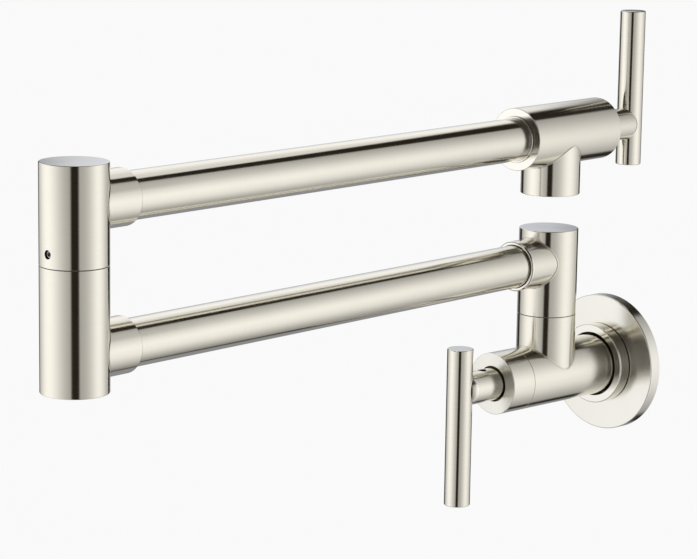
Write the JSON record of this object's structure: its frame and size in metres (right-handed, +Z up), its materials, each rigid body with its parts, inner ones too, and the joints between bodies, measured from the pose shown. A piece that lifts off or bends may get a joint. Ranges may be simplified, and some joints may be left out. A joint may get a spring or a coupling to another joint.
{
  "type": "wall mounted pot filler",
  "caption": "Wall mounted pot filler: round flange, quarter-turn wall valve, folding tube arms on swivel posts, spout valve with a downward nozzle.",
  "frame": {"origin": "point where the wall valve's axis meets the wall plane, at the back face of the flange", "axes": "+Z up, -Y square out of the wall into the room, +X along the wall; the arms are in the pictured pose, folded over each other and swung 4.6 degrees from square"},
  "size_m": [0.0709, 0.3798, 0.2241],
  "materials": {
    "nickel": "warm satin nickel plate, brushed along each tube",
    "nickel_face": "satin nickel plate, turned grain",
    "brass": "machined brass",
    "screw_steel": "plain stainless steel",
    "rubber": "matt black rubber",
    "ceramic": "lapped white ceramic",
    "white_washer": "white low-friction plastic",
    "aerator_plastic": "pale grey moulded plastic"
  },
  "bodies": {
    "wall_side": {"wall_flange": "nickel_face", "flange_gasket": "rubber", "flange_ring": "nickel", "ring_seal": "rubber", "wall_valve_body": "nickel", "inlet_bushing": "brass", "inlet_strainer": "screw_steel", "wall_bonnet_sleeve": "nickel", "wall_seat_seal": "rubber", "wall_fixed_disc": "ceramic", "wall_cartridge_body": "brass", "wall_cartridge_nut": "brass", "wall_swivel_spindle": "brass", "wall_lower_seal_ring": "rubber", "wall_upper_seal_ring": "rubber", "wall_thrust_washer": "white_washer"},
    "wall_valve_handle": {"wall_moving_disc": "ceramic", "wall_cartridge_spindle": "brass", "wall_handle_hub": "nickel", "wall_handle_bar": "nickel", "wall_handle_bar_screw": "screw_steel", "wall_handle_grub_screw": "screw_steel"},
    "lower_arm": {"wall_swivel_post": "nickel", "wall_post_grub_screw": "screw_steel", "lower_arm_tube": "nickel", "elbow_lower_post": "nickel", "elbow_swivel_spindle": "brass", "elbow_lower_seal_ring": "rubber", "elbow_upper_seal_ring": "rubber", "elbow_thrust_washer": "white_washer"},
    "upper_arm": {"elbow_upper_post": "nickel", "elbow_grub_screw": "screw_steel", "upper_arm_tube": "nickel", "tube_gland_ring": "nickel", "spout_valve_body": "nickel", "spout_bonnet_ring": "nickel_face", "aerator_housing": "nickel", "aerator_insert": "aerator_plastic", "spout_seat_seal": "rubber", "spout_fixed_disc": "ceramic", "spout_cartridge_body": "brass", "spout_cartridge_nut": "brass"},
    "spout_valve_handle": {"spout_moving_disc": "ceramic", "spout_cartridge_spindle": "brass", "spout_handle_hub": "nickel", "spout_handle_bar": "nickel", "spout_handle_bar_screw": "screw_steel", "spout_handle_grub_screw": "screw_steel"}
  },
  "joints": [
    {"name": "lower_arm_swing", "type": "hinge", "parent": "wall_side", "child": "lower_arm", "pos_m": [0, -0.0455, 0.0296], "axis": [0, 0, 1], "range_deg": [-94.6, 85.4]},
    {"name": "elbow_swing", "type": "hinge", "parent": "lower_arm", "child": "upper_arm", "pos_m": [0.02406, -0.34453, 0.0905], "axis": [0, 0, 1], "continuous": true},
    {"name": "wall_handle_turn", "type": "hinge", "parent": "wall_side", "child": "wall_valve_handle", "pos_m": [0, -0.0818, 0], "axis": [0, -1, 0], "range_deg": [0, 90]},
    {"name": "spout_handle_turn", "type": "hinge", "parent": "upper_arm", "child": "spout_valve_handle", "pos_m": [0, -0.0455, 0.1149], "axis": [-0.0802, 0.9968, 0], "range_deg": [0, 90]}
  ]
}
